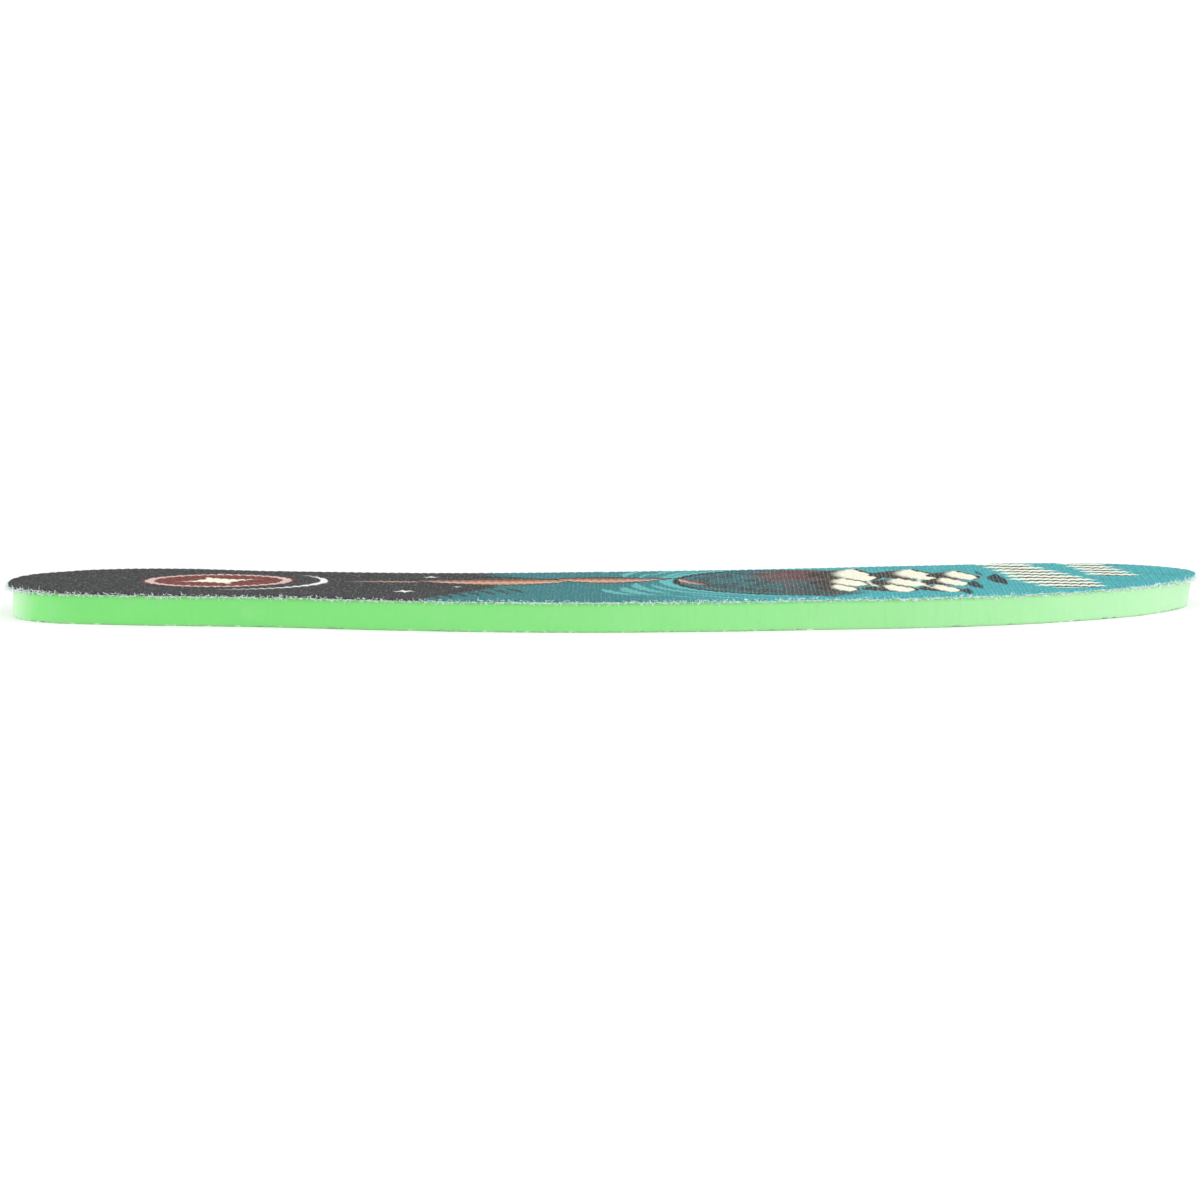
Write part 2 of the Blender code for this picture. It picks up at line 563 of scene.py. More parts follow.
def ground(graph, clouds, x, y, petal, inks):
    """Charcoal at the heel, which turns to teal at the arch through a fan of dark strokes."""
    teal = graph.blend(inks.mid_teal, inks.toe_teal, graph.ramp(x, -8, 60))
    teal = graph.blend(teal, inks.mid_teal, graph.ramp(clouds[0.07], 0.5, 0.75, 0, 0.3))
    near = graph.ramp(y, -8, -14)
    slope = graph.math("MAXIMUM", graph.minus(-19.0, y), 0.0)
    reach = graph.plus(graph.plus(x, 26.0), graph.both(slope, 0.55))
    sharp = graph.ramp(reach, -1.5, 1.5)
    soft = graph.ramp(x, -33, -20)
    toeward = graph.plus(graph.both(sharp, near), graph.without(soft, near))
    ink = graph.blend(inks.charcoal, teal, toeward)
    for k in range(9):
        centre = (-21.5 - 3.1 * k, -27 - 2.9 * k)
        stroke = petal(centre, -70 - k, (19 - 0.5 * k, 2.4), 0.6, -0.5, 0.7)[0]
        ink = graph.over(ink, inks.charcoal, stroke, 0.9)
        gap = petal((centre[0] - 2.6, centre[1] - 4.5), -70 - k, (13, 1.5), 0.5, 0.3, 0.6)[0]
        ink = graph.over(ink, inks.mid_teal, gap, 0.8)
    return ink


def waves(graph, place, petal, ink, inks):
    """Light curved strokes that follow the oval, and light flecks beside the arch."""
    back, up = graph.local(place, (46, 1), 0, (-1, 1.3))
    turn = graph.math("ARCTAN2", up, back)
    away = graph.span(back, up)
    ringed = graph.add("ShaderNodeCombineXYZ", {0: graph.both(turn, 40.0), 1: away}).outputs[0]
    strokes = [
        ((4, 32.6), 0, (92, 2.2)), ((-26, 36.0), 2, (40, 2.6)), ((-44, 38.5), 3, (30, 2.0)),
        ((-18, 40.5), -3, (28, 3.4)), ((22, 36.5), -3, (26, 2.4)), ((-40, 34.6), 1, (34, 1.2)),
        ((-22, 45.5), -4, (19, 4.0)), ((13, 43.0), 4, (14, 3.0)), ((-21, 50.0), 3, (15, 3.2)),
        ((18, 49.5), -5, (12, 3.6)), ((-34, 43.0), 4, (22, 1.6)), ((10, 38.5), 3, (16, 1.8)),
    ]
    ink = strew(graph, petal, ink, inks.wave, 0.85, strokes, 0.4, 0.3, 0.6, ringed)
    shades = [((-40, 36.8), 1, (34, 1.0)), ((-25, 42.8), -2, (24, 1.0))]
    return strew(graph, petal, ink, inks.charcoal, 0.5, shades, 0.3, 0, 0.5, ringed)


def big_oval(graph, place, clouds, x, petal, ink, inks):
    """The large dark oval at the ball: its outline, murky swirls, brick patch and dark blots."""
    shape, away = graph.oval(place, (44.6, -3.4), 8, (28.4, 35.5))
    shape = graph.both(shape, graph.ramp(x, 63, 55))
    swirl = graph.both(clouds[0.09], 16.0)
    curl = graph.math("SINE", graph.plus(graph.both(away, 17.0), swirl))
    murk = graph.ramp(curl, -0.25, 0.45)
    deep = graph.blend(inks.charcoal, inks.brick, graph.ramp(clouds[0.13], 0.45, 0.65, 0.03, 0.32))
    dusk = graph.blend(inks.mid_teal, inks.charcoal, 0.3)
    deep = graph.blend(deep, dusk, 0.28)
    inside = graph.blend(dusk, deep, graph.both(murk, graph.ramp(x, 22, 40, 0.85, 1.0)))
    inside = graph.blend(inside, deep, graph.ramp(x, 38, 52, 0, 0.75))
    ink = graph.blend(ink, inside, shape)
    patch = graph.oval(place, (45.5, 17), -14, (10, 17), 0.35)[0]
    trail = petal((42, -2), 96, (30, 7), 0.3, soft=2.0)[0]
    patch = graph.math("MAXIMUM", patch, graph.both(trail, 0.6))
    ink = graph.over(ink, inks.brick, graph.both(patch, shape), 0.55)
    blots = [
        ((49, -26), 100, (38, 13)), ((28, -16), 114, (26, 4)), ((35, -24), 126, (24, 6)),
        ((46, -38), -10, (26, 4.5)),
    ]
    ink = strew(graph, petal, ink, deep, 0.75, blots, 0.25, 0.2, 1.2)
    left = graph.ramp(x, 48, 36)
    rim = graph.both(graph.ramp(away, 0.955, 0.97), graph.ramp(away, 1.02, 1.005))
    rim = graph.both(rim, left)
    halo = graph.both(graph.ramp(away, 1.02, 1.035), graph.ramp(away, 1.10, 1.08))
    ink = graph.over(ink, inks.wave, graph.both(halo, left), 0.9)
    return graph.over(ink, inks.line, rim, 0.95)


def petal_rows(graph, petal, ink, inks):
    """Plain petals, shaded on the heel side, with pale cords and dark darts between them."""
    petals = [
        ((58.5, 18), 93, (36, 18), 0.30), ((56.5, -3), 97, (23, 15), 0.25),
        ((55.0, -18), 97, (20, 10), 0.25), ((73.0, 19), 96, (32, 17), 0.30),
        ((69.8, -3), 98, (24, 15), 0.25), ((67.5, -19), 98, (22, 13), 0.25),
        ((83.8, 17), 96, (27, 12.5), 0.30), ((81.0, -1), 98, (24, 11.5), 0.25),
        ((78.8, -19), 98, (22, 10), 0.25),
    ]
    for centre, angle, size, bend in petals:
        face, inside, side = petal(centre, angle, size, bend, -0.35)
        lit = graph.ramp(side, 0.17, -0.02)
        ink = graph.blend(ink, graph.blend(inks.umber, inks.cream, lit), face)
        rim = graph.both(graph.ramp(inside, 0.12, 0.07), graph.ramp(side, 0.02, -0.02))
        ink = graph.blend(ink, inks.line, graph.both(face, rim))
    cords = [((x, -6), 96, (50, 1.5)) for x in (64.5, 76.5)]
    ink = strew(graph, petal, ink, inks.cream, 0.8, cords, 3.2, 0, 0.5)
    darts = [
        ((93, 6), 93, (31, 4.6)), ((87, -9), 93, (23, 3.6)), ((84.3, -27), 92, (17, 3.0)),
        ((65, -19), 97, (20, 1.6)), ((89, 22), 95, (18, 1.4)),
    ]
    return strew(graph, petal, ink, inks.line, 0.9, darts, 0.3)


def slanted_bars(graph, x, y, ink, inks):
    """Two slanting ladders of plain cream bars with dark lower edges."""
    ladders = [((92.5, 53), (112, -18), 10.4, 8.3), ((112.5, 53), (120.5, 15), 8.2, 7.4)]
    for (x0, y0), (x1, y1), half, pitch in ladders:
        share = graph.math("DIVIDE", graph.minus(y0, y), y0 - y1)
        middle = graph.plus(graph.both(share, x1 - x0), x0)
        across = graph.minus(x, middle)
        wedge = graph.both(graph.math("SINE", graph.both(across, 0.55)), 0.5)
        slanted = graph.plus(graph.plus(y, wedge), graph.both(across, 0.10))
        tilted = graph.math("DIVIDE", slanted, pitch)
        turn, count = graph.math("FRACT", tilted), graph.math("FLOOR", tilted)
        ragged = graph.math("SINE", graph.math("MULTIPLY", count, 12.9))
        reach = graph.minus(half, graph.both(graph.math("ABSOLUTE", ragged), half * 0.3))
        lean = graph.math("ABSOLUTE", graph.minus(across, graph.both(ragged, 1.8)))
        slack = graph.both(graph.math("ABSOLUTE", graph.minus(turn, 0.65)), 8.0)
        wide = graph.ramp(graph.minus(reach, graph.plus(lean, slack)), -0.6, 0.4)
        ends = graph.both(graph.ramp(share, 0.0, 0.02), graph.ramp(share, 1.0, 0.98))
        inside = graph.both(wide, ends)
        face = graph.both(graph.ramp(turn, 0.38, 0.43), graph.ramp(turn, 1.0, 0.95))
        under = graph.both(graph.ramp(turn, 0.06, 0.11), graph.ramp(turn, 0.45, 0.40))
        ink = graph.blend(ink, inks.line, graph.both(under, inside))
        ink = graph.blend(ink, inks.cream, graph.both(face, inside))
    return ink


def long_leaves(graph, x, petal, ink, inks):
    """Slender leaves in line along the arch, with dark edges and a pale vein."""
    flesh = graph.blend(inks.salmon, inks.orange, graph.ramp(x, -46, -26))
    flesh = graph.blend(flesh, inks.salmon, graph.ramp(x, -2, 8))
    leaves = [
        ((-50, -1.4), -1, (32, 5), -0.20, 0.5),
        ((-28.5, -0.6), -1, (45, 18), -0.30, 0.55),
        ((2.2, 4.2), 7, (31, 17), -0.25, -0.45),
        ((19.8, -1.8), -71, (21, 4.5), -0.30, 0.2),
    ]
    for centre, angle, size, bend, lead in leaves:
        mask, inside, side = petal(centre, angle, size, bend, lead)
        ink = graph.blend(ink, inks.line, mask)
        body = graph.both(mask, graph.ramp(inside, 0.09, 0.15))
        shade = graph.blend(flesh, inks.brick, graph.ramp(side, 0.06, 0.28, 0, 0.8))
        ink = graph.blend(ink, shade, body)
        vein = graph.both(graph.ramp(side, -0.22, -0.17), graph.ramp(side, -0.06, -0.11))
        ink = graph.over(ink, inks.blush, graph.both(vein, body), 0.65)
    cap = petal((-27, 8.5), -4, (20, 6), 0.5, soft=1.2)[0]
    return graph.over(ink, inks.line, cap, 0.75)


def roundel(graph, place, ink, inks):
    """The brick disc with its dashed ring, plain star, crescent and small stars."""
    centre = (-92, 0.5)
    moon = graph.without(graph.disc(place, (-89, -1), 23.0), graph.disc(place, (-92, 0.4), 24.2))
    ink = graph.blend(ink, inks.white, moon)
    small_stars = [((-42, 10.5), 2.1), ((-47, -28.4), 3.1), ((-35, -16), 1.3)]
    for spot, reach in small_stars:
        ink = graph.blend(ink, inks.white, star_mask(graph, place, spot, 8, reach, 0.7))
    ink = graph.blend(ink, inks.brick, graph.disc(place, centre, 18.1))
    right, up = graph.local(place, centre, 0, (1, 1))
    turn = graph.math("ARCTAN2", up, right)
    dashes = 44.0
    dash = graph.ramp(graph.math("SINE", graph.both(turn, dashes)), -0.9, 0.1, 0.35, 1.0)
    ring = graph.without(graph.disc(place, centre, 17.4), graph.disc(place, centre, 15.2))
    ink = graph.over(ink, inks.blush, ring, dash)
    ink = graph.blend(ink, inks.cream, star_mask(graph, place, centre, 20, 11.5))
    return graph.blend(ink, inks.cream, star_mask(graph, place, centre, 65, 6.0))


def knit_material(settings, picture):
    """Ribbed knit: printed on the outside, undyed down in the grooves and at the cut."""
    cloth, inks = settings.cloth, settings.print
    material, graph, shader, place = new_material("printed_ribbed_knit")
    millimetres = graph.vector("MULTIPLY", place, (1000, 1000, 1000))
    height = graph.add("ShaderNodeSeparateXYZ", {0: millimetres}).outputs[2]
    ink = graph.add("ShaderNodeGroup", {"Place": millimetres}, node_tree=picture).outputs["Ink"]

    knit = graph.add("ShaderNodeAttribute", attribute_name="knit").outputs["Vector"]
    split = graph.add("ShaderNodeSeparateXYZ", {0: knit})
    wale = graph.math("DIVIDE", split.outputs[0], cloth.rib / 2)
    side = graph.math("ABSOLUTE", graph.minus(graph.math("FRACT", wale), 0.5))
    rows = graph.math("DIVIDE", split.outputs[1], cloth.stitch)
    climb = graph.plus(rows, graph.both(side, 1.1))
    stitch = graph.ramp(graph.math("PINGPONG", climb, 0.5), 0.02, 0.32)
    groove = graph.ramp(side, 0.30, 0.47)
    rib = graph.math("FRACT", graph.math("DIVIDE", split.outputs[0], cloth.rib))
    paired = graph.ramp(rib, 0.25, 0.75)
    paired = graph.add("ShaderNodeMapRange", {"Value": paired, "To Min": 0.6, "To Max": 1.0})
    groove = graph.both(groove, paired.outputs["Result"])
    plies = graph.noise(graph.vector("MULTIPLY", place, (5200, 2600, 5200)), 1.0, 2.0)
    dash = graph.noise(graph.vector("MULTIPLY", knit, (2500, 400, 0)), 1.0, 2.0, 0.65)
    speck = graph.noise(place, 2600.0, 2.0, 0.6)

    toeward = graph.ramp(split.outputs[0], -0.08, 0.08, 0.12, 1.0)
    bare = graph.both(graph.both(groove, graph.ramp(dash, 0.40, 0.60, 0.0, 0.68)), toeward)
    fleck = graph.ramp(dash, 0.56, 0.68, 0.0, 0.24)
    bare = graph.math("ADD", bare, fleck, clamp=True)
    # Painted shade: the ink darkens towards the outline ink in the knit's gaps and between the
    # stitches.
    gap = graph.ramp(dash, 0.46, 0.34, 0.0, 0.50)
    hollow = graph.blend(ink, inks.line, 0.7)
    between = graph.ramp(stitch, 1.0, 0.0, 0.0, 0.3)
    shaded = graph.blend(ink, hollow, graph.math("MAXIMUM", gap, between))
    shaded = graph.blend(shaded, inks.undyed, graph.ramp(plies, 0.52, 0.8, 0.0, 0.10))
    tinted = graph.blend(inks.undyed, ink, 0.5)
    surface = graph.blend(shaded, tinted, bare)
    ragged = graph.plus(height, graph.ramp(speck, 0.3, 0.7, -0.14, 0.14))
    back = graph.ramp(ragged, CLOTH_LOW.z / MM + 0.13, CLOTH_LOW.z / MM + 0.01)
    surface = graph.over(surface, inks.undyed, back, 0.85)
    graph.feed(shader.inputs["Base Color"], surface)

    relief = graph.plus(graph.both(stitch, 0.7), graph.both(plies, 0.5))
    relief = graph.plus(relief, graph.both(speck, 0.4))
    relief = graph.minus(relief, groove)
    graph.bump(shader, relief, 0.55, 0.12 * MM)
    set_values(shader, {"Roughness": 0.92, "Specular IOR Level": 0.08})
    return material


def yarn_material(name, settings, picture, dyed):
    """Loose fibres: the print's colour where dyed is 1, plain undyed yarn where it is 0."""
    material, graph, shader, place = new_material(name)
    millimetres = graph.vector("MULTIPLY", place, (1000, 1000, 1000))
    ink = graph.add("ShaderNodeGroup", {"Place": millimetres}, node_tree=picture).outputs["Ink"]
    patchy = graph.ramp(graph.noise(place, 900.0), 0.35, 0.65, dyed - 0.15, dyed + 0.15)
    bleached_and_toe_highlight = graph.blend(settings.print.undyed, BLEACHED, 1 - dyed)
    graph.feed(shader.inputs["Base Color"], graph.blend(bleached_and_toe_highlight, ink, patchy))
    set_values(shader, {"Roughness": 0.85, "Specular IOR Level": 0.2, "Sheen Weight": 0.15})
    return material


def foam_material(foam):
    """Fine-celled foam with a knife-cut side: soft mottling and open cells, with painted shade in
    the cell pits, under the cloth's edge and along the lower edge, and a painted highlight towards
    the toe and at the heel end.
    """
    material, graph, shader, place = new_material("cut_green_foam")
    split = graph.add("ShaderNodeSeparateXYZ", {0: place})
    x, z = split.outputs[0], split.outputs[2]
    # Painted highlight: paler towards the toe, where the side light falls.
    bleached_and_toe_highlight = graph.add("ShaderNodeMapRange", {"Value": x, "From Min": -0.13, "From Max": 0.14})
    bleached_and_toe_highlight = graph.math("POWER", bleached_and_toe_highlight.outputs["Result"], 2.2)
    green = graph.blend(foam.green, foam.pale, bleached_and_toe_highlight)
    mottle = graph.noise(graph.vector("MULTIPLY", place, (1, 1, 1.6)), 75.0, 3.0, 0.55)
    green = graph.blend(green, foam.pale, graph.ramp(mottle, 0.45, 0.75, 0.0, 0.12))
    streak = graph.noise(graph.vector("MULTIPLY", place, (1, 1, 0.12)), 900.0, 2.0)
    green = graph.blend(green, foam.deep, graph.ramp(streak, 0.5, 0.8, 0.0, 0.12))
    cells = graph.add("ShaderNodeTexVoronoi", {"Vector": place, "Scale": 1 / foam.cell})
    cell = cells.outputs["Distance"]
    hollow = graph.ramp(cell, 0.18, 0.62)
    # Painted shade in the pits of the open cells.
    green = graph.blend(green, foam.deep, graph.ramp(cell, 0.30, 0.05, 0.0, 0.30))
    # Painted shade: a darker band on the foam just under the cloth's edge.
    top, rim_height = FOAM_HIGH.z + 0.45 * MM, 0.9 * MM
    rim = graph.ramp(z, top - rim_height, top)
    green = graph.over(green, foam.deep, rim, 0.55)
    # Painted highlight: the heel end whitens towards its tip, where the left light grazes it.
    highlit_length = 8 * MM
    highlit = graph.ramp(x, CAD_LOW.x + highlit_length, CAD_LOW.x - MM, 0.0, 0.5)
    green = graph.blend(green, foam.painted_highlight, highlit)
    # Painted shade along the lower edge, with pale painted flecks here and there.
    torn = graph.noise(place, 420.0, 2.0)
    sole_line = graph.ramp(z, 0.50 * MM, 0.15 * MM)
    lower = graph.blend(foam.bottom_edge_shade, foam.painted_highlight, graph.ramp(torn, 0.55, 0.66))
    green = graph.over(green, lower, sole_line, graph.ramp(torn, 0.35, 0.6, 0.2, 0.75))
    graph.feed(shader.inputs["Base Color"], green)
    grain = graph.noise(place, 5200.0, 3.0, 0.6)
    relief = graph.plus(graph.both(hollow, 0.6), graph.both(grain, 0.5))
    relief = graph.plus(relief, graph.both(streak, 0.6))
    graph.bump(shader, relief, 0.4, 0.08 * MM)
    set_values(shader, {
        "Roughness": 0.72,
        "Specular IOR Level": 0.35,
        "Subsurface Weight": 0.35,
        "Subsurface Radius": (0.5, 1.0, 0.45),
        "Subsurface Scale": 1.2 * MM,
        "Sheen Weight": 0.40,
        "Sheen Roughness": 0.4,
    })
    return material


def glue_material(foam):
    """Milky film with small bubbles, slightly shiny where it shows at the cut."""
    material, graph, shader, place = new_material("milky_glue_film")
    cloudy = graph.noise(place, 1200.0, 2.0)
    milky = graph.blend(foam.glue, foam.pale, graph.ramp(cloudy, 0.4, 0.7))
    graph.feed(shader.inputs["Base Color"], milky)
    graph.bump(shader, cloudy, 0.3, 0.05 * MM)
    set_values(shader, {"Roughness": 0.45})
    return material


# Operators, one for each piece


def layer_heights(settings):
    """Top of the foam, top of the film, and underside of the cloth, glued with no visible gap."""
    cloth_under = CLOTH_LOW.z
    film_top = cloth_under - HAIRLINE
    foam_top = film_top - settings.foam.film - HAIRLINE
    return foam_top, film_top, cloth_under


class INSOLE_OT_foam_slab(bpy.types.Operator):
    """Cut the green foam slab, with its rippled side and nibbled lower edge"""

    bl_idname = "insole.foam_slab"
    bl_label = "Foam Slab"

    def execute(self, context):
        foam = context.scene.insole.foam
        top = layer_heights(context.scene.insole)[0]
        line, outward = cut_line("foam_slab", foam.step)
        heights = [height * MM for height in FOAM_ROWS] + [top]
        bite_width, bite_height, bite_share = 1.5 * MM, 1.1 * MM, 2.2
        rim_squeeze, rim_height = 0.10 * MM, 0.7 * MM
        fine_wave, broad_wave, wave_height = 1.2 * MM, 5 * MM, 3 * MM

        def place(station, row):
            x, y = line[station]
            z = heights[row]
            bite = max(0, wander(x, y, bite_width, seed=3.1) - 0.10) * foam.nibble * bite_share
            lift = bite * fade(z, bite_height)
            lower = fade(z, foam.edge_round)
            tucked = foam.edge_round * 0.6 * lower**2 + bite * lower * 0.8
            toeward = max(0, end_share(x)) ** 2
            lean = (foam.undercut + foam.toe_undercut * toeward) * fade(z, top)
            broad = wander(x, y, broad_wave, seed=z / wave_height)
            ripple = foam.ripple * (wander(x, y, fine_wave, seed=7.7) + 0.8 * broad)
            squeeze = rim_squeeze * fade(top - z, rim_height)
            inward = tucked + lean + squeeze - ripple
            push = outward[station] * -max(inward, 0)
            return x + push[0], y + push[1], z + lift

        slab = bmesh.new()
        wall(slab, line, len(heights), place)
        piece = finish_piece(slab, "foam_body", foam_material(foam))
        piece.data.set_sharp_from_angle(angle=math.radians(60))
        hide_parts("foam_slab")
        return {"FINISHED"}


class INSOLE_OT_glue_film(bpy.types.Operator):
    """Lay the adhesive film between foam and cloth, a little short of the cut"""

    bl_idname = "insole.glue_film"
    bl_label = "Glue Film"

    def execute(self, context):
        settings = context.scene.insole
        foam_top, film_top, _ = layer_heights(settings)
        line, outward = cut_line("bond_film", 0.8 * MM)
        heights = [foam_top + HAIRLINE, (foam_top + film_top) / 2, film_top]
        setback = (0.16 * MM, 0.10 * MM, 0.16 * MM)
        uneven, drop_width = 0.07 * MM, 1.7 * MM

        def place(station, row):
            x, y = line[station]
            seep = uneven * wander(x, y, drop_width, seed=11.3)
            push = outward[station] * (seep - setback[row])
            return x + push[0], y + push[1], heights[row]

        film = bmesh.new()
        wall(film, line, len(heights), place)
        piece = finish_piece(film, "glue_film", glue_material(settings.foam))
        piece.data.set_sharp_from_angle(angle=math.radians(60))
        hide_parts("bond_film")
        return {"FINISHED"}


class INSOLE_OT_top_cloth(bpy.types.Operator):
    """Knit the ribbed top cloth, press its cut edge and print it"""

    bl_idname = "insole.top_cloth"
    bl_label = "Top Cloth"

    def execute(self, context):
        settings = context.scene.insole
        cloth = settings.cloth
        line, outward = cut_line("top_cloth", cloth.step)
        rim = CLOTH_HIGH.z - cloth.press_depth
        heights = [CLOTH_LOW.z, (CLOTH_LOW.z + rim) / 2, rim]
        bulges = (0, 0.04 * MM, 0)
        uneven, yarn_width = 0.06 * MM, 0.9 * MM

        def place(station, row):
            x, y = line[station]
            fray = uneven * wander(x, y, yarn_width, seed=6.2)
            push = outward[station] * (overhang(cloth, x) + bulges[row] + fray)
            return x + push[0], y + push[1], heights[row]

        knit = bmesh.new()
        wall(knit, line, len(heights), place)
        face = max(knit.faces, key=lambda face: face.calc_center_median().z)
        for inset in CLOTH_INSETS:
            bmesh.ops.inset_region(knit, faces=[face], thickness=inset * MM, use_even_offset=True)
        self.cut_ribs(knit, cloth)
        self.raise_ribs(knit, rim, cloth)
        picture = print_group(settings.print)
        piece = finish_piece(knit, "knit_cloth", knit_material(settings, picture))
        piece.data.set_sharp_from_angle(angle=math.radians(70))
        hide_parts("top_cloth")
        return {"FINISHED"}

    def cut_ribs(self, knit, cloth):
        """Cut the face along both sides of every rib and now and then across."""
        ribs = range(math.floor(CAD_LOW.x / cloth.rib), math.ceil(CAD_HIGH.x / cloth.rib) + 1)
        lines = [(rib + share) * cloth.rib for rib in ribs for share in RIB_CUTS]
        rows = np.arange(CAD_LOW.y + cloth.row / 2, CAD_HIGH.y, cloth.row)
        for axis, places in ((0, lines), (1, rows)):
            direction = Vector([float(k == axis) for k in range(3)])
            for place in places:
                if not CAD_LOW[axis] < place < CAD_HIGH[axis]:
                    continue
                top = [face for face in knit.faces if face.normal.z > 0.5]
                edges = {edge for face in top for edge in face.edges}
                verts = {vert for edge in edges for vert in edge.verts}
                bmesh.ops.bisect_plane(
                    knit,
                    geom=[*verts, *edges, *top],
                    dist=WELD,
                    plane_co=direction * float(place),
                    plane_no=direction,
                )

    def raise_ribs(self, knit, rim, cloth):
        """Lift the face into ribs that sink and sway a little, and round it down at the cut."""
        line, _ = cut_line("top_cloth", 0.3 * MM)
        fullness = 0.7  # the nearer to 0, the steeper a rib's sides
        kept = 0.1  # share of a rib's height that is left at the pressed edge
        near = kdtree.KDTree(len(line))
        for i, (x, y) in enumerate(line):
            near.insert((x, y, 0), i)
        near.balance()
        flat = knit.verts.layers.float_vector.new("knit")
        for vert in knit.verts:
            x, y, z = vert.co
            vert[flat] = (x, y, 0)
            if z < rim - WELD:
                continue
            depth = near.find((x, y, 0))[2]
            inside = min(1, depth / cloth.press_width)
            share = x / cloth.rib % 1
            arch = math.sin(math.pi * share) ** fullness
            level = 1 + 0.22 * wander(x, y, 7 * MM, seed=1.5)
            level += 0.12 * wander(x, y, 1.4 * MM, seed=4.5)
            groove = cloth.rib_height * (1 - arch * min(1, level))
            groove *= kept + (1 - kept) * inside
            pressed = cloth.press_depth * (1 - inside) ** 2
            sink = 0.03 * MM * (1 + wander(x, y, 18 * MM, seed=8.5))
            vert.co.z = CLOTH_HIGH.z - pressed - groove - sink * inside
            vert.co.x += cloth.sway * inside * wander(x / 3, y, 12 * MM, seed=2.5)


class INSOLE_OT_cut_yarns(bpy.types.Operator):
    """Fray the cut edge into short undyed yarn ends"""

    bl_idname = "insole.cut_yarns"
    bl_label = "Cut Yarns"

    def execute(self, context):
        settings = context.scene.insole
        yarn = settings.yarn
        dice = random.Random(11)
        line, outward = cut_line("top_cloth", FRINGE_SPACING)
        count = round(len(line) * FRINGE_SPACING / yarn.tuft_gap)
        stub = (yarn.stub_length, yarn.stub_width, 1.1, 0.1, 2)
        paths = []
        for i in range(count):
            at = round((i + dice.uniform(-0.4, 0.4)) / count * len(line)) % len(line)
            toeward = max(0, line[at][0] / CAD_HIGH.x - 0.3)
            z = CLOTH_LOW.z + dice.uniform(-0.32, 0.38) * MM - yarn.toe_droop * toeward
            size = dice.choice((0.6, 0.75, 0.9, 1.0, 1.25))
            fibre = (yarn.fibre_length * size, yarn.fibre_width, 0.5, 0.6, 3)
            for reach, width, *habit in [stub] * yarn.stubs + [fibre] * yarn.fibres:
                here = (at + dice.randint(-2, 2)) % len(line)
                base = Vector((*line[here], z))
                out = Vector((*outward[here], 0))
                points = self.strand(settings.cloth, dice, base, out, reach, habit)
                paths.append((width * dice.uniform(0.75, 1.15), points))
        picture = bpy.data.node_groups["insole_print"]
        material = yarn_material("frayed_white_yarn", settings, picture, 0.06)
        piece = fibres("cut_yarn_ends", paths, material)
        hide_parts("top_cloth")
        return {"FINISHED"}

    def strand(self, cloth, dice, base, out, reach, habit):
        """A curled fibre or stub from just inside the side, its habit spread, rise and bends."""
        spread, rise, bends = habit
        side = Vector((-out.y, out.x, 0))
        tip = abs(end_share(base.x))
        base.z += dice.gauss(0, 0.05 * MM)
        base += out * (overhang(cloth, base.x) - 0.14 * MM)
        aim = out * dice.uniform(0.2, 0.9) + side * dice.gauss(0, spread)
        aim.z = dice.gauss(rise, 0.5)
        aim.normalize()
        curl = side * dice.gauss(0, 0.6) + Vector((0, 0, dice.gauss(-0.3, 0.5)))
        reach *= dice.uniform(0.45, 1.15) * (1 + 0.8 * tip)
        points = []
        for step in range(bends + 1):
            share = step / bends
            point = base + aim * reach * share + curl * reach * share**2
            point.z = max(point.z, CAD_LOW.z + FRINGE_FLOOR)
            points.append(point)
        return points


class INSOLE_OT_face_nap(bpy.types.Operator):
    """Scatter short loose fibres over the printed face"""

    bl_idname = "insole.face_nap"
    bl_label = "Face Nap"

    def execute(self, context):
        settings = context.scene.insole
        yarn = settings.yarn
        cloth = bpy.data.objects["knit_cloth"]
        dice = random.Random(23)
        paths = []
        above, down = 20 * MM, Vector((0, 0, -1))
        while len(paths) < yarn.nap_count:
            x = dice.uniform(CAD_LOW.x, CAD_HIGH.x)
            y = dice.uniform(CAD_LOW.y, CAD_HIGH.y)
            hit, place, _, _ = cloth.ray_cast(Vector((x, y, above)), down)
            if not hit:
                continue
            angle = dice.uniform(0, math.tau)
            run = Vector((math.cos(angle), math.sin(angle), 0))
            run = run * yarn.nap_length * dice.uniform(0.4, 1.1)
            bow = Vector((-run.y, run.x, 0)) * dice.gauss(0, 0.3)
            rise = dice.uniform(0.05, 0.30) * MM
            start = place - Vector((0, 0, 0.03 * MM))
            points = [
                start,
                start + run * 0.35 + bow * 0.8 + Vector((0, 0, rise)),
                start + run * 0.7 + bow + Vector((0, 0, rise * dice.uniform(0.5, 1.5))),
                start + run + Vector((0, 0, rise * dice.uniform(0, 1.2))),
            ]
            paths.append((yarn.nap_width * dice.uniform(0.7, 1.4), points))
        picture = bpy.data.node_groups["insole_print"]
        material = yarn_material("loose_face_fibre", settings, picture, 0.72)
        piece = fibres("cloth_nap", paths, material)
        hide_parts("top_cloth")
        flat_area()
        return {"FINISHED"}


def flat_area():
    """Area inside the cut line in square metres."""
    line, _ = cut_line("top_cloth", 1 * MM)
    x, y = line.T
    return float(abs(np.dot(x, np.roll(y, -1)) - np.dot(y, np.roll(x, -1))) / 2)


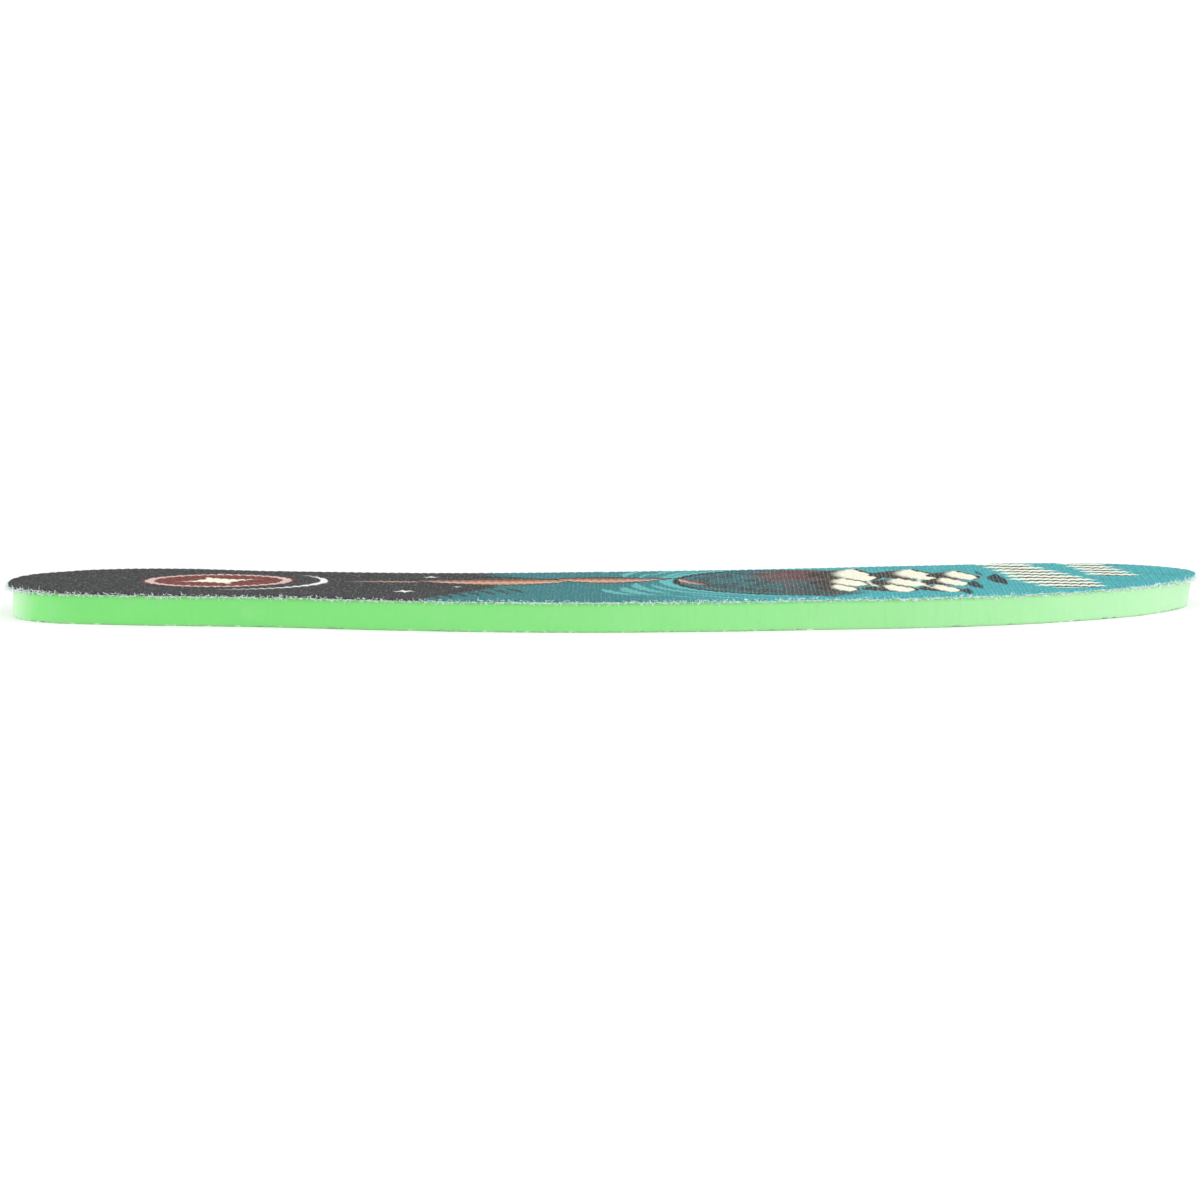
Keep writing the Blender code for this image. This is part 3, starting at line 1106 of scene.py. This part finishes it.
class INSOLE_OT_stage(bpy.types.Operator):
    """Set the round paper backdrop, the soft lights and the camera"""

    bl_idname = "insole.stage"
    bl_label = "Stage"

    def execute(self, context):
        stage = context.scene.insole.stage
        self.backdrop(stage)
        self.sky(context, stage)
        for light in (
            ("right_softbox", (1.15, -0.35, 0.75), 0.9, stage.right_watts),
            ("left_softbox", (-1.25, 0.15, 0.55), 0.8, stage.left_watts),
            ("top_softbox", (0.1, -0.5, 1.5), 1.2, stage.top_watts),
        ):
            self.softbox(*light)
        self.camera(context, stage)
        context.scene.view_settings.view_transform = "Standard"
        return {"FINISHED"}

    def backdrop(self, stage):
        """A round floor that curves up into a wall, and glows where it is far from the sole."""
        radius, bend, height, steps = stage.backdrop, 1.6, 3.2, 8
        glow, near, far = (0.12, 0.50), 0.4, 1.9
        sweep = bmesh.new()
        profile = [(0.0, 0.0), (0.5, 0.0), (radius - bend, 0.0)]
        for step in range(1, steps + 1):
            angle = math.pi / 2 * step / steps
            profile.append((radius - bend + bend * math.sin(angle), bend - bend * math.cos(angle)))
        profile.append((radius, height))
        verts = [sweep.verts.new((x, 0, z)) for x, z in profile]
        edges = [sweep.edges.new(pair) for pair in zip(verts, verts[1:])]
        bmesh.ops.spin(
            sweep, geom=[*verts, *edges], cent=(0, 0, 0), axis=(0, 0, 1), dvec=(0, 0, 0),
            angle=math.tau, steps=96, use_merge=True,
        )
        bmesh.ops.remove_doubles(sweep, verts=sweep.verts, dist=0.1 * MM)
        bmesh.ops.recalc_face_normals(sweep, faces=sweep.faces)
        bmesh.ops.reverse_faces(sweep, faces=sweep.faces)
        material, graph, shader, place = new_material("white_paper")
        tooth = graph.noise(place, 900.0, 3.0)
        darker = [0.98 * value for value in stage.paper]
        graph.feed(shader.inputs["Base Color"], graph.blend(stage.paper, darker, tooth))
        away = graph.vector("LENGTH", place)
        graph.feed(shader.inputs["Emission Strength"], graph.ramp(away, near, far, *glow))
        set_values(shader, {"Roughness": 0.9, "Emission Color": (1, 1, 1, 1)})
        smooth_object(sweep, "paper_sweep", material)

    def sky(self, context, stage):
        """An even white sky."""
        world = bpy.data.worlds.new("soft_sky")
        world.use_nodes = True
        background = world.node_tree.nodes["Background"]
        set_values(background, {"Color": (1, 1, 1, 1), "Strength": stage.sky})
        context.scene.world = world

    def softbox(self, name, place, size, watts):
        """A square light that faces the sole and isn't seen itself."""
        light = bpy.data.lights.new(name, "AREA")
        light.shape = "SQUARE"
        light.size = size
        light.energy = watts
        lamp = add_object(name, light)
        lamp.location = place
        lamp.rotation_mode = "QUATERNION"
        lamp.rotation_quaternion = Vector(place).to_track_quat("Z", "Y")
        lamp.visible_camera = False

    def camera(self, context, stage):
        """The camera that looks along the sole's outer side."""
        lens = bpy.data.cameras.new("camera")
        lens.lens = stage.lens
        lens.clip_start = 0.01
        lens.clip_end = 50
        camera = add_object("camera", lens)
        camera.location = stage.camera
        camera.rotation_mode = "QUATERNION"
        look = Vector(stage.aim) - Vector(stage.camera)
        camera.rotation_quaternion = look.to_track_quat("-Z", "Y")
        context.scene.camera = camera


class InsoleSettings(bpy.types.PropertyGroup):
    """Everything that can be set on the insole."""

    foam: PointerProperty(type=InsoleFoamSettings)
    cloth: PointerProperty(type=InsoleClothSettings)
    print: PointerProperty(type=InsolePrintSettings)
    yarn: PointerProperty(type=InsoleYarnSettings)
    stage: PointerProperty(type=InsoleStageSettings)


OPERATORS = (
    INSOLE_OT_foam_slab,
    INSOLE_OT_glue_film,
    INSOLE_OT_top_cloth,
    INSOLE_OT_cut_yarns,
    INSOLE_OT_face_nap,
    INSOLE_OT_stage,
)


class INSOLE_PT_panel(bpy.types.Panel):
    """Buttons that build the insole, in order."""

    bl_idname = "INSOLE_PT_panel"
    bl_label = "Shoe Insole"
    bl_space_type = "VIEW_3D"
    bl_region_type = "UI"
    bl_category = "Insole"

    def draw(self, context):
        settings = context.scene.insole
        for operator in OPERATORS:
            self.layout.operator(operator.bl_idname)
        for group in (settings.foam, settings.cloth, settings.print, settings.yarn, settings.stage):
            box = self.layout.box()
            for name in group.bl_rna.properties.keys():
                if name not in ("rna_type", "name"):
                    box.prop(group, name)


CLASSES = (
    InsoleFoamSettings,
    InsoleClothSettings,
    InsolePrintSettings,
    InsoleYarnSettings,
    InsoleStageSettings,
    InsoleSettings,
    *OPERATORS,
    INSOLE_PT_panel,
)


def register():
    for each in CLASSES:
        bpy.utils.register_class(each)
    bpy.types.Scene.insole = PointerProperty(type=InsoleSettings)


def unregister():
    del bpy.types.Scene.insole
    for each in reversed(CLASSES):
        bpy.utils.unregister_class(each)


def main():
    register()
    for operator in OPERATORS:
        group, name = operator.bl_idname.split(".")
        getattr(getattr(bpy.ops, group), name)()


if __name__ == "__main__":
    main()
